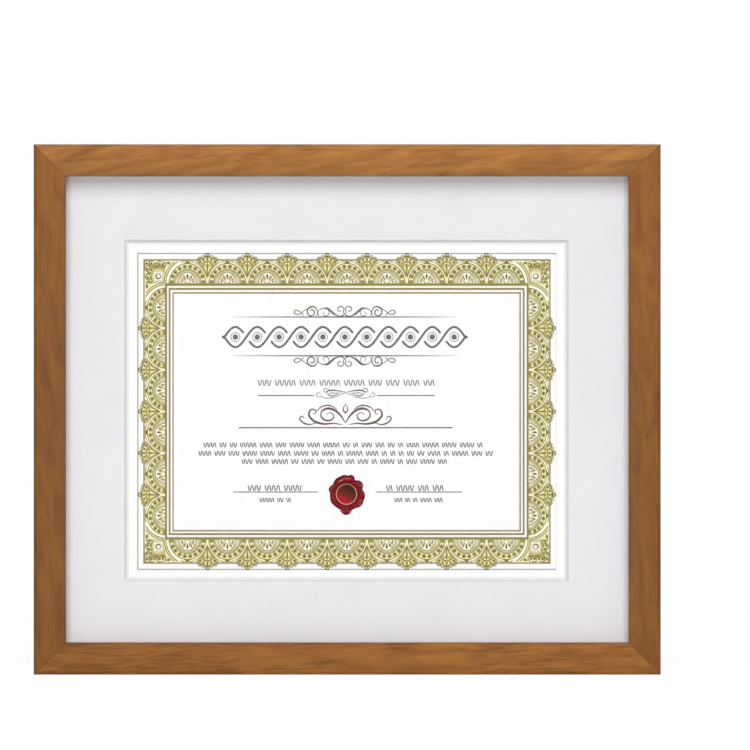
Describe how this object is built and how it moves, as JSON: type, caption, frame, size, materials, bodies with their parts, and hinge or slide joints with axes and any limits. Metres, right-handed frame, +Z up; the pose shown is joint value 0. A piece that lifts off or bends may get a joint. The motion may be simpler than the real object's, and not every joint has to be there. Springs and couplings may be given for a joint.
{
  "type": "certificate frame",
  "caption": "Landscape wooden certificate frame with mitred rails, glass, bevelled white mat, bordered certificate with a wax seal, turn buttons, hangers and a folding easel strut.",
  "frame": {"origin": "middle of the bottom rail's underside, halfway through the depth of the moulding", "axes": "+Z up, +X to the right as seen from the front, the front faces -Y and the wall side +Y"},
  "size_m": [0.3774, 0.0247, 0.3192],
  "materials": {
    "rail_wood": "satin lacquer",
    "plain_steel": "plain",
    "zinc_steel": "zinc plated",
    "clear_glass": "clear float",
    "mat_card": "smooth white",
    "certificate_paper": "printed",
    "seal_wax": "glossy wax",
    "filler_card": "kraft",
    "hardboard": "smooth hardboard"
  },
  "bodies": {
    "frame": {"bottom_rail": "rail_wood", "right_rail": "rail_wood", "top_rail": "rail_wood", "left_rail": "rail_wood", "corner_v_nails": "plain_steel", "glass_pane": "clear_glass", "mat_board": "mat_card", "certificate_sheet": "certificate_paper", "wax_seal": "seal_wax", "filler_card": "filler_card", "backing_board": "hardboard", "turn_button_screws": "zinc_steel", "sawtooth_hanger_top": "zinc_steel", "sawtooth_hanger_side": "zinc_steel", "hanger_nails": "zinc_steel", "hinge_board_leaf": "zinc_steel", "hinge_pin": "plain_steel", "hinge_board_rivets": "zinc_steel"},
    "strut": {"easel_strut": "hardboard", "hinge_strut_leaf": "zinc_steel", "hinge_strut_rivets": "zinc_steel"},
    "turn_button_bottom_left": {"turn_button_bottom_left": "zinc_steel"},
    "turn_button_bottom_right": {"turn_button_bottom_right": "zinc_steel"},
    "turn_button_right_lower": {"turn_button_right_lower": "zinc_steel"},
    "turn_button_right_upper": {"turn_button_right_upper": "zinc_steel"},
    "turn_button_top_right": {"turn_button_top_right": "zinc_steel"},
    "turn_button_top_left": {"turn_button_top_left": "zinc_steel"},
    "turn_button_left_upper": {"turn_button_left_upper": "zinc_steel"},
    "turn_button_left_lower": {"turn_button_left_lower": "zinc_steel"}
  },
  "joints": [
    {"name": "strut_fold", "type": "hinge", "parent": "frame", "child": "strut", "pos_m": [0, 0.01185, 0.222], "axis": [1, 0, 0], "range_deg": [0, 26]},
    {"name": "turn_bottom_left", "type": "hinge", "parent": "frame", "child": "turn_button_bottom_left", "pos_m": [-0.11, 0.01, 0.00635], "axis": [0, 1, 0], "range_deg": [-90, 90]},
    {"name": "turn_bottom_right", "type": "hinge", "parent": "frame", "child": "turn_button_bottom_right", "pos_m": [0.11, 0.01, 0.00635], "axis": [0, 1, 0], "range_deg": [-90, 90]},
    {"name": "turn_right_lower", "type": "hinge", "parent": "frame", "child": "turn_button_right_lower", "pos_m": [0.18235, 0.01, 0.0846], "axis": [0, 1, 0], "range_deg": [-90, 90]},
    {"name": "turn_right_upper", "type": "hinge", "parent": "frame", "child": "turn_button_right_upper", "pos_m": [0.18235, 0.01, 0.2346], "axis": [0, 1, 0], "range_deg": [-90, 90]},
    {"name": "turn_top_right", "type": "hinge", "parent": "frame", "child": "turn_button_top_right", "pos_m": [0.11, 0.01, 0.31285], "axis": [0, 1, 0], "range_deg": [-90, 90]},
    {"name": "turn_top_left", "type": "hinge", "parent": "frame", "child": "turn_button_top_left", "pos_m": [-0.11, 0.01, 0.31285], "axis": [0, 1, 0], "range_deg": [-90, 90]},
    {"name": "turn_left_upper", "type": "hinge", "parent": "frame", "child": "turn_button_left_upper", "pos_m": [-0.18235, 0.01, 0.2346], "axis": [0, 1, 0], "range_deg": [-90, 90]},
    {"name": "turn_left_lower", "type": "hinge", "parent": "frame", "child": "turn_button_left_lower", "pos_m": [-0.18235, 0.01, 0.0846], "axis": [0, 1, 0], "range_deg": [-90, 90]}
  ]
}
